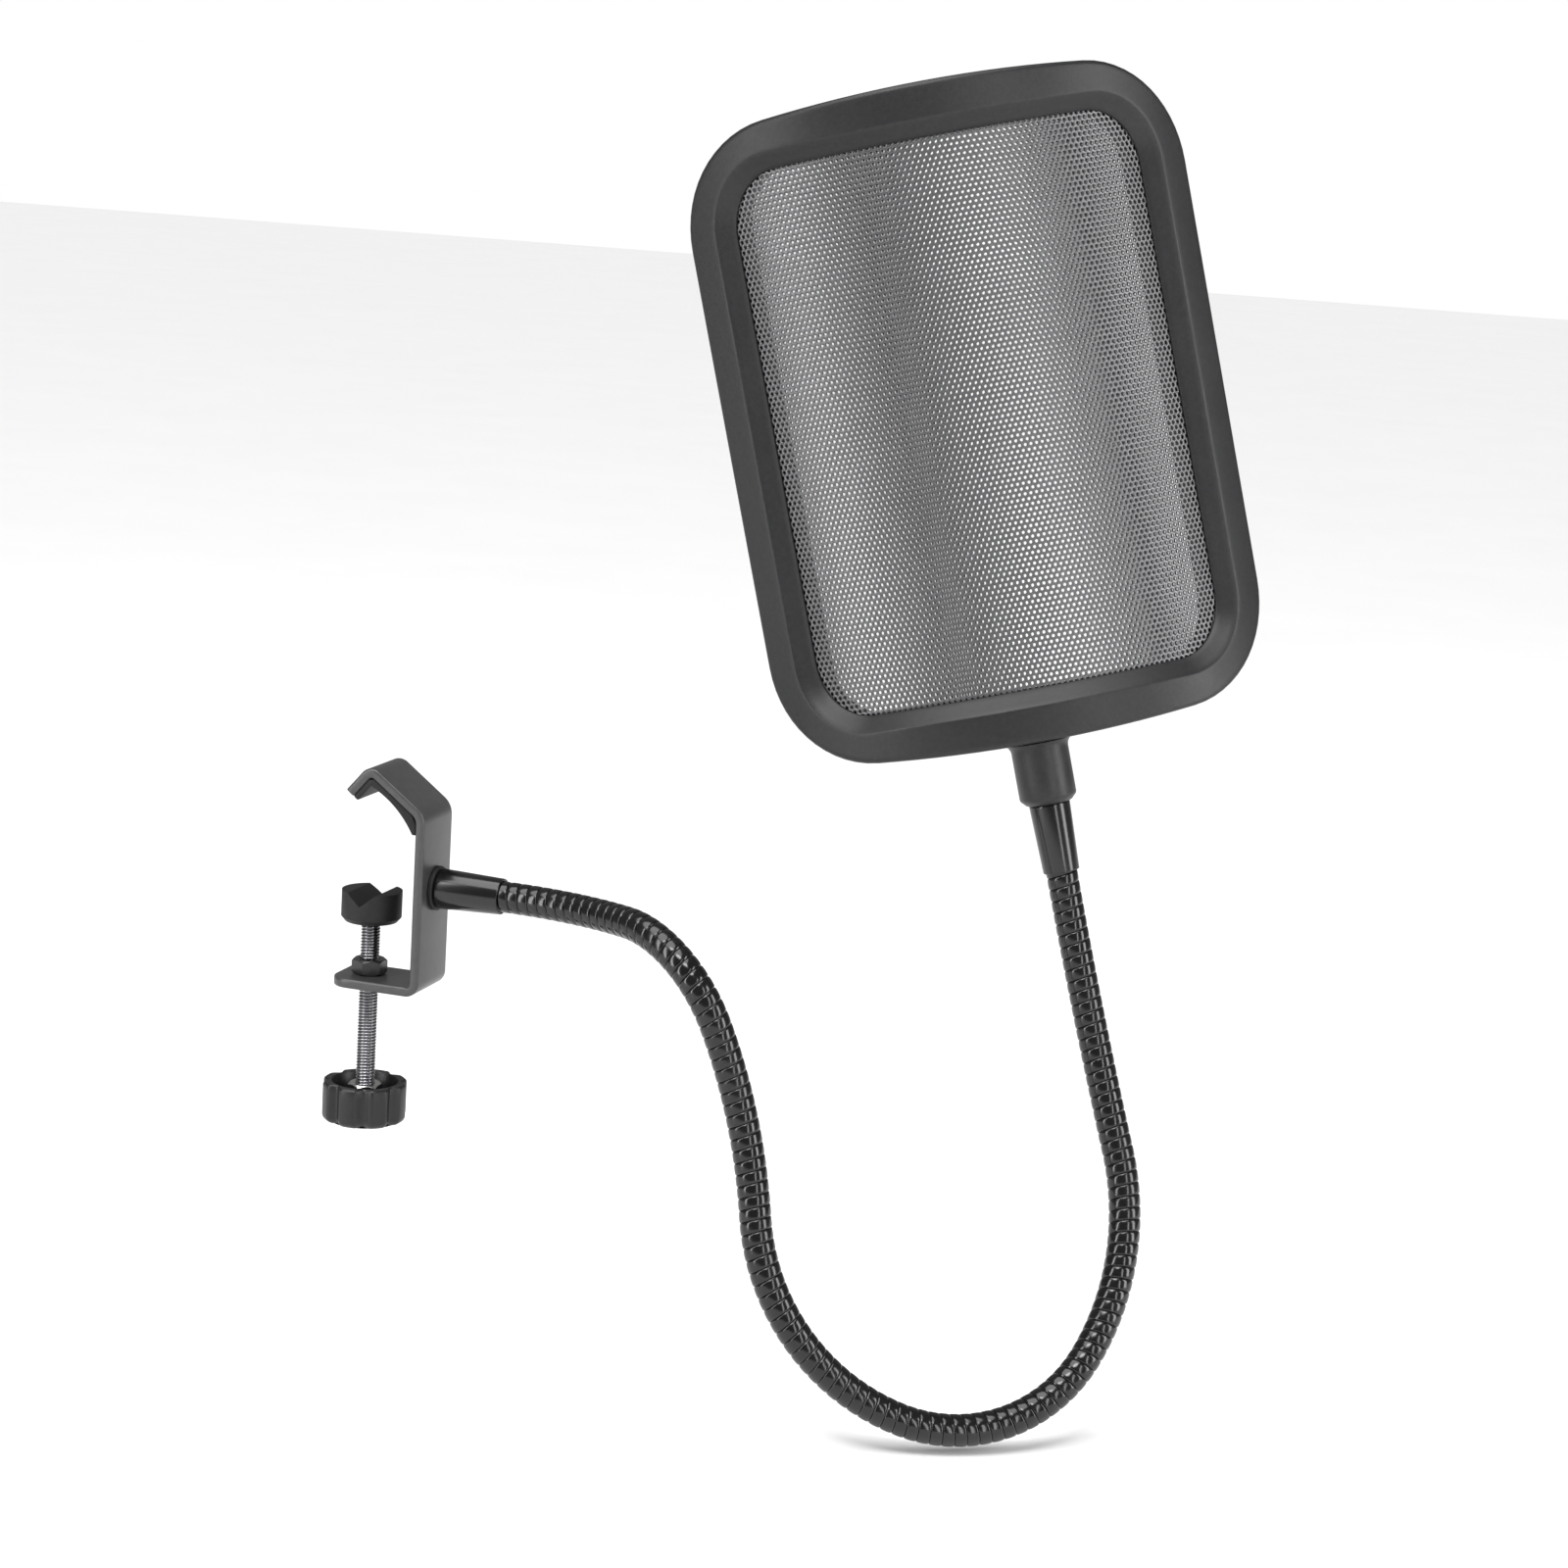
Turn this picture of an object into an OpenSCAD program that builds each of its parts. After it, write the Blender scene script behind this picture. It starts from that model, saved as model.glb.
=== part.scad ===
// Gooseneck pop filter: a screw clamp with a hooked steel bracket, a flexible gooseneck and a curved
// two-layer mesh shield in a moulded frame.
// Frame: +Z runs up the clamp screw, +X points from the jaw towards the gooseneck, +Y runs across the
// bracket. The origin is the middle of the jaw, on the screw's axis.

/* [Clamp bracket] */
// Width of the steel strap, across the bracket
strap_w = 18; // [14:1:24]
// Thickness of the strap
strap_t = 2.5; // [2:0.25:3]
// Length of the lower flange, measured outside
flange_len = 25; // [23:0.5:28]
// Height of the upright web, measured outside
web_h = 47.5; // [46:0.5:52]
// Length of the hook's sloping leg, measured outside
hook_len = 19.3; // [18.5:0.1:21]
// Bend between the web and the sloping leg
hook_bend = 53.5; // [50:0.5:56]
// Length of the hook's short leg, measured outside
lip_len = 10; // [9:0.5:12]
// Bend between the sloping leg and the short leg
lip_bend = 86; // [82:1:90]
// Distance from the screw's axis to the outer face of the web
web_x = 17.5; // [17:0.5:19]
// Height of the flange's lower face
flange_z = -37; // [-38:0.5:-36]
// Radius of the corners at the flange's free end
flange_corner_r = 5; // [3:0.5:7]
// Least thickness of the jaw liner
liner_t = 1.5; // [1:0.25:2]
// Radius of the hollow along the liner
liner_hollow_r = 26; // [22:1:40]

/* [Clamp screw] */
// Diameter of the threaded rod
rod_d = 4.9; // [4.9:0.1:5.1]
// Height of the rod's upper shoulder
rod_top_z = -20.8; // [-21.2:0.2:-20.6]
// Diameter of the pressure pad
pad_d = 15.5; // [14:0.5:17]
// Height of the pressure pad
pad_h = 8; // [8:0.5:9]
// Depth of the pad's V groove
groove_depth = 3.2; // [2.5:0.1:3.4]
// Angle between the groove's two faces
groove_angle = 100; // [95:5:120]
// Outside diameter of the knob
knob_d = 22; // [20:1:26]
// Height of the knob
knob_h = 10.5; // [10:0.5:13]
// Height of the knob's open rim
knob_top_z = -63; // [-64:0.5:-62]
// Number of finger flutes round the knob
flutes = 8; // [6:1:10]

/* [Gooseneck] */
// Outside diameter of the gooseneck
neck_d = 8; // [7.6:0.1:8.2]
// Outside diameter of the inner coil
coil_d = 5.2; // [5:0.1:5.4]
// Bore through the inner coil
coil_bore = 3; // [2:0.5:3.5]
// Height of the gooseneck's base axis
arm_z = -9.8; // [-10.5:0.1:-9]
// Far end of the base ferrule, from the screw's axis
arm_start_x = 36; // [35:0.5:38]

/* [Shield] */
// Width of the shield's outline
shield_w = 127; // [120:1:132]
// Height of the shield's outline
shield_h = 164.5; // [158:0.5:170]
// Radius of the outline's corners
shield_corner_r = 28; // [24:1:32]
// Width of the mesh window
window_w = 102; // [96:1:104]
// Height of the mesh window
window_h = 138; // [132:1:140]
// Radius of the window's corners
window_corner_r = 15; // [12:0.5:18]
// Width of the bevel round the window
bevel_w = 4; // [2:0.5:5]
// Radius of the slight crown along the top and bottom edges
crown_r = 640; // [500:20:1000]
// Radius of the shield's curved front
front_r = 88.5; // [86:0.5:92]
// Turn of the shield about the gooseneck's upper end
shield_turn = 80.5; // [-180:0.5:180]

/* [Hidden] */
$fn = 64;

eps = 0.01;            // overlap that lets a cut run clean through a face
run_gap = 0.05;        // radial clearance of a turning fit
steel_black = "#2a2b2d";
plastic_black = "#1b1c1e";
rubber_black = "#141415";
mesh_grey = "#6f7275";

// strap bends: radius of the inside of each
flange_bend_r = 1.2;
hook_bend_r = 3;
lip_bend_r = 1;
function setback(r, angle) = (r + strap_t) * tan(angle / 2);
lip_flat = lip_len - setback(lip_bend_r, lip_bend);
bend_r = [flange_bend_r, hook_bend_r, lip_bend_r];
bend_steps = 8;
// straight runs of the strap's outer face, measured between its sharp corners: length and heading
runs = [
  [flange_len, 0], [web_h, 90], [hook_len, 90 + hook_bend], [lip_len, 90 + hook_bend + lip_bend]
];
function corner(i) = i == 0 ? [web_x - flange_len, flange_z]
  : corner(i - 1) + runs[i - 1][0] * [cos(runs[i - 1][1]), sin(runs[i - 1][1])];
web_in_x = web_x - strap_t;
flange_top_z = flange_z + strap_t;

// clamp screw
rod_hole_d = 5.4;
nut_flats = 8;
nut_h = 4;
tip_d = 4.4;
tip_h = 3.3;
clip_z = 1.9;          // height of the clip's underside over the rod's shoulder
clip_h = 0.5;
clip_d = 6.1;
clip_neck_d = 3.6;
rod_end_z = knob_top_z - 8;
pad_z = rod_top_z + 0.3;
flute_d = 5.4;
flute_cut = 1.3;       // depth of a flute into the knob's side
knob_wall = 2;
hub_d = 9.4;
knob_floor = 2.4;

// fastener and ferrules
base_screw_d = 4;
base_screw_len = 13;
washer_d = 11.4;
washer_t = 1.2;
ferrule_wide_d = 10.4;
ferrule_narrow_d = 9.2;
ferrule_socket = 7.4;
ferrule_x = web_x + washer_t + 0.05;
top_ferrule_len = 17.5;
spigot_d = 8;
spigot_len = 11;

// gooseneck: one [roll, length, bend] for each length between two flexing points
bends = [
  [268, 39.5, 31.5], [108, 38.5, 74.5], [-92.5, 47.5, 20.5], [209, 63.5, 64],
  [-9, 55, 78.5], [6.5, 53, 46], [79.5, 71.5, 11]
];
last = len(bends) - 1;
ball_r = neck_d / 2 - 0.1;
cup_r = neck_d / 2 + 0.2;
ball_setback = 1.6;    // from the flexing point back to the full tube
coil_setback = 5;      // from the flexing point back to the inner coil
start_frame = [[0, 0, 1, arm_start_x], [0, 1, 0, 0], [-1, 0, 0, arm_z], [0, 0, 0, 1]];
function roll(a) = [[cos(a), -sin(a), 0, 0], [sin(a), cos(a), 0, 0], [0, 0, 1, 0], [0, 0, 0, 1]];
function arc_r(i) = bends[i][1] * 180 / (PI * bends[i][2]);
function sweep(i) = let(a = bends[i][2], r = arc_r(i))
  [[cos(a), 0, sin(a), r * (1 - cos(a))], [0, 1, 0, 0], [-sin(a), 0, cos(a), r * sin(a)], [0, 0, 0, 1]];
function rolled(i) = station(i) * roll(bends[i][0]);
function station(i) = i == 0 ? start_frame : rolled(i - 1) * sweep(i - 1);

// shield: layers, each from an inner to an outer radius about the curve's axis
bezel_in_r = front_r - 4;
front_mesh_r = [bezel_in_r - 0.4, bezel_in_r - 0.1];
spacer_r = [front_mesh_r[0] - 1.6, front_mesh_r[0] - 0.1];
rear_mesh_r = [spacer_r[0] - 0.4, spacer_r[0] - 0.1];
rear_r = [rear_mesh_r[0] - 4.6, rear_mesh_r[0] - 0.1];
rim_w = 3;             // rear frame's side wall, which wraps the mesh edges
rim_gap = 0.2;
deep_r = [front_r - 40, front_r + 20];   // a cut right through every layer
bevel_step = 2;        // depth of the step round the window
function half_angle(width, r) = asin(width / 2 / r);
outer_half = half_angle(shield_w, front_r);
window_half = half_angle(window_w, bezel_in_r);
bevel_half = half_angle(window_w + 2 * bevel_w, front_r);
function inset_angle(w) = w * 180 / (PI * front_r);
socket_d = 14.4;
socket_len = 14.5;
socket_chamfer = 1.5;
socket_z = -9.5;       // socket's axis behind the front of the curve
shield_lift = top_ferrule_len + socket_len + socket_chamfer + shield_h / 2;

// ---------- helpers ----------

// points along one bend of the strap, at a distance out from the bend's centre
function bend_arc(i, r) = let(before = runs[i][1], turn = runs[i + 1][1] - before,
    along = [cos(before), sin(before)], left = [-sin(before), cos(before)],
    centre = corner(i + 1) - setback(bend_r[i], turn) * along + (bend_r[i] + strap_t) * left)
  [for (k = [0:bend_steps]) let(a = before - 90 + turn * k / bend_steps) centre + r * [cos(a), sin(a)]];

module strap_profile() {
  tip = corner(4);
  tip_in = [-sin(runs[3][1]), cos(runs[3][1])];
  outer = [for (i = [0:2]) each bend_arc(i, bend_r[i] + strap_t)];
  inner = [for (i = [2:-1:0]) let(arc = bend_arc(i, bend_r[i])) for (k = [bend_steps:-1:0]) arc[k]];
  polygon([corner(0), each outer, tip, tip + strap_t * tip_in, each inner, corner(0) + [0, strap_t]]);
}

// places its children at the start of the hook's sloping leg, in the strap's own plane
module at_hook() {
  translate([web_x, 0, flange_z + web_h]) rotate([90, 0, 0]) rotate([0, 0, 90 + hook_bend]) children();
}

module hex(flats, h) {
  cylinder(d = flats / cos(30), h = h, $fn = 6);
}

// tube bent along length i, from one angle of its arc to another
module bent_tube(i, from, to, outer_d, inner_d) {
  multmatrix(rolled(i)) translate([arc_r(i), 0, 0]) rotate([90, 0, 180]) rotate([0, 0, from])
    rotate_extrude(angle = to - from, $fn = 96) translate([arc_r(i), 0]) difference() {
      circle(d = outer_d);
      circle(d = inner_d);
    }
}

// angle along length i that a distance spans
function span_angle(i, distance) = distance * 180 / (PI * arc_r(i));

module neck_wire(i) {
  start_cut = i > 0;
  end_ball = i < last;
  color(plastic_black) difference() {
    union() {
      bent_tube(i, 0, bends[i][2] - (end_ball ? span_angle(i, ball_setback) : 0), neck_d, coil_d + 0.1);
      if (end_ball) multmatrix(station(i + 1)) sphere(r = ball_r);
      if (!start_cut) neck_stub(station(0), -1);
      if (!end_ball) neck_stub(station(last + 1), 1);
    }
    if (start_cut) multmatrix(station(i)) sphere(r = cup_r);
  }
}

// straight end of the gooseneck inside a ferrule
module neck_stub(frame, side) {
  lap = 1;
  multmatrix(frame) translate([0, 0, side > 0 ? -lap : -ferrule_socket]) difference() {
    cylinder(d = neck_d - 0.1, h = ferrule_socket + lap);
    translate([0, 0, -1]) cylinder(d = coil_d + 0.2, h = ferrule_socket + 3);
  }
}

module neck_coil(i) {
  from = i > 0 ? span_angle(i, coil_setback) : 0;
  to = bends[i][2] - (i < last ? span_angle(i, coil_setback) : 0);
  color("#3a3b3d") bent_tube(i, from, to, coil_d, coil_bore);
}

module at_shield() {
  multmatrix(station(last + 1) * roll(shield_turn)) translate([0, 0, shield_lift])
    rotate([90, 0, 0]) translate([0, 0, -socket_z]) children();
}

// slice of a drum about the shield's curve: between two radii, out to an angle and a height each way
module drum_slice(radii, half, half_h) {
  rotate([-90, 0, 0]) rotate([0, 0, -90 - half]) rotate_extrude(angle = 2 * half, $fn = 128)
    translate([radii[0], -half_h]) square([radii[1] - radii[0], 2 * half_h]);
}

// curved plate with rounded corners and radial edges, left long at the top and bottom by a margin
module curved_plate(radii, half, h, corner_r, margin = 0) {
  corner_half = half - asin(corner_r / front_r);
  translate([0, 0, -front_r]) intersection() {
    drum_slice(radii, half, h / 2 + margin);
    union() {
      drum_slice(deep_r, half + 1, h / 2 - corner_r);
      drum_slice(deep_r, corner_half, h / 2 + margin + 1);
      for (side = [-1, 1], end = [-1, 1]) rotate([0, side * corner_half, 0])
        translate([0, end * (h / 2 - corner_r), deep_r[0]])
          cylinder(r = corner_r + 0.02, h = deep_r[1] - deep_r[0]);
    }
  }
}

// room within the crowned top edge, or the bottom one for side -1
module edge_crown(side, inset) {
  translate([0, side * (shield_h / 2 - inset - crown_r), -front_r])
    cylinder(r = crown_r, h = front_r + 5, $fn = 360);
}

// layer over the shield's whole outline, set in from its edge
module full_layer(radii, inset) {
  intersection() {
    curved_plate(radii, outer_half - inset_angle(inset), shield_h - 2 * inset, shield_corner_r - inset, 1);
    edge_crown(1, inset);
    edge_crown(-1, inset);
  }
}

module window_cut(radii, grow) {
  curved_plate(radii, window_half + inset_angle(grow), window_h + 2 * grow, window_corner_r + grow);
}

// ---------- clamp ----------

module clamp_bracket() {
  tip_x = web_x - flange_len;
  color(steel_black) difference() {
    rotate([90, 0, 0]) linear_extrude(strap_w, center = true) strap_profile();
    translate([0, 0, flange_z - 1]) cylinder(d = rod_hole_d, h = strap_t + 2);
    translate([web_in_x - 1, 0, arm_z]) rotate([0, 90, 0])
      cylinder(d = base_screw_d + 0.2, h = strap_t + 2);
    for (side = [-1, 1]) translate([tip_x, side * strap_w / 2, flange_z])
      difference() {
        translate([-1, -flange_corner_r, -1])
          cube([flange_corner_r + 1, 2 * flange_corner_r, strap_t + 2]);
        translate([flange_corner_r, -side * flange_corner_r, -2])
          cylinder(r = flange_corner_r + 0.02, h = strap_t + 4);
      }
  }
}

module jaw_liner() {
  slope_start = setback(hook_bend_r, hook_bend);
  slope_end = hook_len - setback(lip_bend_r, lip_bend);
  hollow_mid = [hook_len / 2 + 1, strap_t + liner_t + liner_hollow_r];
  bend_end = [slope_start - hook_bend_r * sin(hook_bend), strap_t + hook_bend_r * (1 - cos(hook_bend))];
  toe = bend_end + 2.8 * [-cos(hook_bend), sin(hook_bend)];
  lip_along = [cos(lip_bend), sin(lip_bend)];
  lip_in = [-sin(lip_bend), cos(lip_bend)];
  lip_base = [hook_len, 0] + (hook_len - slope_end) * lip_along + strap_t * lip_in;
  lip_end = lip_base + (lip_flat - 0.4) * lip_along;
  corner = [hook_len, 0] + (strap_t + liner_t) / sin((180 - lip_bend) / 2)
    * [-cos((180 - lip_bend) / 2), sin((180 - lip_bend) / 2)];
  hollow_from = asin((toe[0] + 0.8 - hollow_mid[0]) / liner_hollow_r);
  hollow_to = asin((corner[0] - 0.6 - hollow_mid[0]) / liner_hollow_r);
  liner_w = strap_w - 0.6;
  color(rubber_black) at_hook() translate([0, 0, -liner_w / 2]) linear_extrude(liner_w) polygon([
    [slope_start, strap_t], bend_end, toe,
    for (i = [0:12]) let(a = hollow_from + (hollow_to - hollow_from) * i / 12)
      hollow_mid + liner_hollow_r * [sin(a), -cos(a)],
    corner, lip_end + liner_t * lip_in, lip_end, lip_base, [slope_end, strap_t]
  ]);
}

module clamp_nut() {
  color(plastic_black) translate([0, 0, flange_top_z]) difference() {
    intersection() {
      hex(nut_flats, nut_h);
      cylinder(d1 = nut_flats + 2.4, d2 = nut_flats + 0.4, h = nut_h + 0.6);
    }
    translate([0, 0, -1]) cylinder(d = rod_d + 2 * run_gap, h = nut_h + 2);
  }
}

module clamp_screw() {
  color("#4a4b4d") difference() {
    union() {
      translate([0, 0, rod_end_z]) cylinder(d = rod_d, h = rod_top_z - rod_end_z);
      translate([0, 0, rod_top_z - eps]) cylinder(d = tip_d, h = tip_h - 0.2 + eps);
    }
    translate([0, 0, rod_top_z + clip_z - 0.05]) difference() {
      cylinder(d = tip_d + 1, h = clip_h + 0.1);
      translate([0, 0, -1]) cylinder(d = clip_neck_d, h = clip_h + 2);
    }
  }
}

module knob() {
  floor_z = knob_top_z - knob_h;
  color(plastic_black) difference() {
    union() {
      difference() {
        translate([0, 0, floor_z]) {
          cylinder(d1 = knob_d - 4, d2 = knob_d, h = 2);
          translate([0, 0, 2 - eps]) cylinder(d = knob_d, h = knob_h - 2 + eps);
        }
        for (i = [0:flutes - 1]) rotate([0, 0, (i + 0.5) * 360 / flutes])
          translate([knob_d / 2 + flute_d / 2 - flute_cut, 0, floor_z - 1]) cylinder(d = flute_d, h = knob_h + 2);
        translate([0, 0, floor_z + knob_floor])
          cylinder(d = knob_d - 2 * knob_wall - 1.6, h = knob_h);
      }
      translate([0, 0, floor_z + 1]) cylinder(d = hub_d, h = knob_h - 4.6);
      for (i = [0:3]) rotate([0, 0, 45 + i * 90]) translate([hub_d / 2 - 1, -0.6, floor_z + 1])
        cube([knob_d / 2 - knob_wall - hub_d / 2 + 0.6, 1.2, knob_h - 5]);
    }
    translate([0, 0, rod_end_z]) cylinder(d = rod_d, h = knob_h);
  }
}

module knob_nut() {
  nut_z = knob_top_z - 3.6;
  color("silver") translate([0, 0, nut_z]) difference() {
    hex(nut_flats, 3);
    translate([0, 0, -1]) cylinder(d = rod_d, h = 5);
  }
}

module pressure_pad() {
  groove_half = groove_depth * tan(groove_angle / 2);
  color(rubber_black) difference() {
    translate([0, 0, pad_z]) {
      cylinder(d1 = pad_d - 2, d2 = pad_d, h = 1.2);
      translate([0, 0, 1.2 - eps]) cylinder(d = pad_d, h = pad_h - 1.2 + eps);
    }
    translate([0, 0, pad_z + pad_h]) rotate([90, 0, 0]) linear_extrude(pad_d + 2, center = true)
      polygon([[0, -groove_depth], [2 * groove_half, groove_depth], [-2 * groove_half, groove_depth]]);
    translate([0, 0, pad_z - 1]) cylinder(d = tip_d + 2 * run_gap, h = tip_h + 0.75);
    translate([0, 0, rod_top_z + clip_z - 0.05]) cylinder(d = clip_d + 0.1, h = clip_h + 0.1);
  }
}

module pad_clip() {
  color("silver") translate([0, 0, rod_top_z + clip_z]) difference() {
    cylinder(d = clip_d, h = clip_h);
    translate([0, 0, -1]) cylinder(d = clip_neck_d + 2 * run_gap, h = clip_h + 2);
    translate([0, -clip_neck_d / 4, -1]) cube([clip_d, clip_neck_d / 2, clip_h + 2]);
  }
}

// ---------- gooseneck fixings ----------

module base_screw() {
  head_h = 1.9;
  head_r = 3.6;
  dome_r = (head_r * head_r + head_h * head_h) / (2 * head_h);
  color(plastic_black) translate([web_in_x, 0, arm_z]) rotate([0, 90, 0]) difference() {
    union() {
      intersection() {
        translate([0, 0, dome_r - head_h]) sphere(r = dome_r);
        translate([0, 0, -head_h - 1]) cylinder(r = head_r + 1, h = head_h + 1);
      }
      translate([0, 0, -eps]) cylinder(d = base_screw_d, h = base_screw_len);
    }
    for (a = [0, 90]) rotate([0, 0, a]) translate([-1.6, -0.35, -head_h - 1]) cube([3.2, 0.7, 2]);
  }
}

module base_washer() {
  color(rubber_black) translate([web_x, 0, arm_z]) rotate([0, 90, 0]) difference() {
    cylinder(d = washer_d, h = washer_t);
    translate([0, 0, -1]) cylinder(d = base_screw_d + 0.2, h = washer_t + 2);
  }
}

module base_ferrule() {
  length = arm_start_x - ferrule_x;
  color(plastic_black) translate([ferrule_x, 0, arm_z]) rotate([0, 90, 0]) difference() {
    union() {
      cylinder(d1 = ferrule_wide_d, d2 = ferrule_narrow_d, h = length - 1);
      translate([0, 0, length - 1 - eps])
        cylinder(d1 = ferrule_narrow_d, d2 = neck_d + 0.4, h = 1 + eps);
    }
    translate([0, 0, -1]) cylinder(d = base_screw_d + 2 * run_gap, h = length);
    translate([0, 0, length - ferrule_socket]) cylinder(d = neck_d + 0.1, h = ferrule_socket + 1);
  }
}

module top_ferrule() {
  color(plastic_black) multmatrix(station(last + 1)) difference() {
    union() {
      cylinder(d1 = neck_d + 0.4, d2 = ferrule_narrow_d, h = 1);
      translate([0, 0, 1 - eps])
        cylinder(d1 = ferrule_narrow_d, d2 = ferrule_wide_d, h = top_ferrule_len - 1 + eps);
      translate([0, 0, top_ferrule_len - eps]) cylinder(d = spigot_d, h = spigot_len + eps);
    }
    translate([0, 0, -1]) cylinder(d = neck_d + 0.1, h = ferrule_socket + 1);
  }
}

// ---------- shield ----------

module socket_body(low_y) {
  translate([0, low_y, socket_z]) rotate([-90, 0, 0]) {
    cylinder(d1 = socket_d - 3, d2 = socket_d, h = socket_chamfer);
    translate([0, 0, socket_chamfer - eps]) cylinder(d = socket_d, h = socket_len + 10);
  }
}

module rear_frame() {
  low_y = -shield_h / 2 - socket_len - socket_chamfer;
  color(plastic_black) at_shield() difference() {
    union() {
      difference() {
        full_layer([rear_r[0], bezel_in_r - 0.1], 0);
        full_layer([rear_r[1], front_r], rim_w);
        window_cut([rear_r[0] - 5, front_r], 0);
      }
      difference() {
        socket_body(low_y);
        intersection() {
          translate([0, 0, -front_r]) drum_slice([rear_r[1], front_r + 10], 20, shield_h);
          translate([-socket_d, -shield_h / 2 - 0.1, -20]) cube([2 * socket_d, 40, 40]);
        }
      }
    }
    translate([0, low_y - 1, socket_z]) rotate([-90, 0, 0])
      cylinder(d = spigot_d + 2 * run_gap, h = spigot_len + 1.5);
  }
}

module front_bezel() {
  color(plastic_black) at_shield() difference() {
    full_layer([bezel_in_r, front_r], 0);
    window_cut([bezel_in_r - 1, front_r + 1], 0);
    curved_plate([front_r - bevel_step, front_r + 1], bevel_half, window_h + 2 * bevel_w,
      window_corner_r + bevel_w);
  }
}

module front_mesh() {
  color(mesh_grey) at_shield() full_layer(front_mesh_r, rim_w + rim_gap);
}

module rear_mesh() {
  color(mesh_grey) at_shield() full_layer(rear_mesh_r, rim_w + rim_gap);
}

module mesh_spacer() {
  color(rubber_black) at_shield() difference() {
    full_layer(spacer_r, rim_w + rim_gap);
    window_cut([spacer_r[0] - 1, spacer_r[1] + 1], 1);
  }
}

clamp_bracket();
jaw_liner();
clamp_nut();
clamp_screw();
knob();
knob_nut();
pressure_pad();
pad_clip();
base_screw();
base_washer();
base_ferrule();
neck_wire(0);  // neck_wire_1
neck_wire(1);  // neck_wire_2
neck_wire(2);  // neck_wire_3
neck_wire(3);  // neck_wire_4
neck_wire(4);  // neck_wire_5
neck_wire(5);  // neck_wire_6
neck_wire(6);  // neck_wire_7
neck_coil(0);  // neck_coil_1
neck_coil(1);  // neck_coil_2
neck_coil(2);  // neck_coil_3
neck_coil(3);  // neck_coil_4
neck_coil(4);  // neck_coil_5
neck_coil(5);  // neck_coil_6
neck_coil(6);  // neck_coil_7
top_ferrule();
rear_frame();
front_bezel();
front_mesh();
rear_mesh();
mesh_spacer();
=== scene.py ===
"""Pop filter: screw clamp, ribbed gooseneck and a curved two-layer mesh shield.

Lengths are metres unless a name ends in mm. The frame is the CAD's: +Z up the clamp screw, +X towards
the gooseneck, +Y across the bracket, origin in the middle of the jaw.
"""
import math

import bmesh
import bpy
import numpy as np
from mathutils import Matrix, Vector


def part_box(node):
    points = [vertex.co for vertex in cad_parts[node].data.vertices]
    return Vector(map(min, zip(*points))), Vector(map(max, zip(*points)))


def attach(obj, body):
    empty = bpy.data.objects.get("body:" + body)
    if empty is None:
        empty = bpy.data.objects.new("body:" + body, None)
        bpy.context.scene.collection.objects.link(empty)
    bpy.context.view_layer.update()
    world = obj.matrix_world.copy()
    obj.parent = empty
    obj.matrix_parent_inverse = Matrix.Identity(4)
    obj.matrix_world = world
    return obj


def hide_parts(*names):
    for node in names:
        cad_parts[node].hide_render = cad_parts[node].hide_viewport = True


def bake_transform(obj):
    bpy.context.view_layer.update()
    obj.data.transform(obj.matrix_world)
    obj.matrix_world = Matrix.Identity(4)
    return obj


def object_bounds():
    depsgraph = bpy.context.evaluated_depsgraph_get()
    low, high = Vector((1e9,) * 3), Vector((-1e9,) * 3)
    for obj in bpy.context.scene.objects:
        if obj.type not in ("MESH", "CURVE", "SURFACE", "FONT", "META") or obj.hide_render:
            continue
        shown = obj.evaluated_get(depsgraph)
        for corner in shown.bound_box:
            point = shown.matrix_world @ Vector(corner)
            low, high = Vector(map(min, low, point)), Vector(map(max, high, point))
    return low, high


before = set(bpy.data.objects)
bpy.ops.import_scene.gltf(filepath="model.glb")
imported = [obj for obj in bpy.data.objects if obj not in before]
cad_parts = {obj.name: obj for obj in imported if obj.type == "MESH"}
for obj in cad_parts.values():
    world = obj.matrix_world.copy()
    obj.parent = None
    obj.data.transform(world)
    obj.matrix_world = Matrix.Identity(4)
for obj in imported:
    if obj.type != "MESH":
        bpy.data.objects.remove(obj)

cad_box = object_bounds()
MM = 0.001

# ---------- camera ----------

CAMERA_TARGET = Vector((0.09739, 0.03502, 0.02069))
CAMERA_BACK = Vector((0.29518, -0.93619, 0.19081)).normalized()
CAMERA_UP = Vector((-0.11549, 0.16328, 0.97980))
CAMERA_DISTANCE = 0.900
CAMERA_LENS = 81.0

camera = bpy.data.objects.new("camera", bpy.data.cameras.new("camera"))
bpy.context.scene.collection.objects.link(camera)
camera.data.sensor_width = 36.0
camera.data.lens = CAMERA_LENS
camera.data.clip_start = 0.01
camera.data.clip_end = 50.0
right = CAMERA_UP.cross(CAMERA_BACK).normalized()
up = CAMERA_BACK.cross(right).normalized()
camera.matrix_world = Matrix.Translation(CAMERA_TARGET + CAMERA_DISTANCE * CAMERA_BACK) @ Matrix(
    (right, up, CAMERA_BACK)
).transposed().to_4x4()
bpy.context.scene.camera = camera

# ---------- studio ----------


def area_light(name, place, target, size, power, size_y):
    """Rectangular light facing a target. It lights the object and isn't itself in the picture."""
    data = bpy.data.lights.new(name, "AREA")
    data.shape = "RECTANGLE"
    data.size = size
    data.size_y = size_y
    data.energy = power
    light = bpy.data.objects.new(name, data)
    bpy.context.scene.collection.objects.link(light)
    light.location = place
    light.visible_camera = False
    light.rotation_euler = (Vector(target) - Vector(place)).to_track_quat("-Z", "Y").to_euler()


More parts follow.
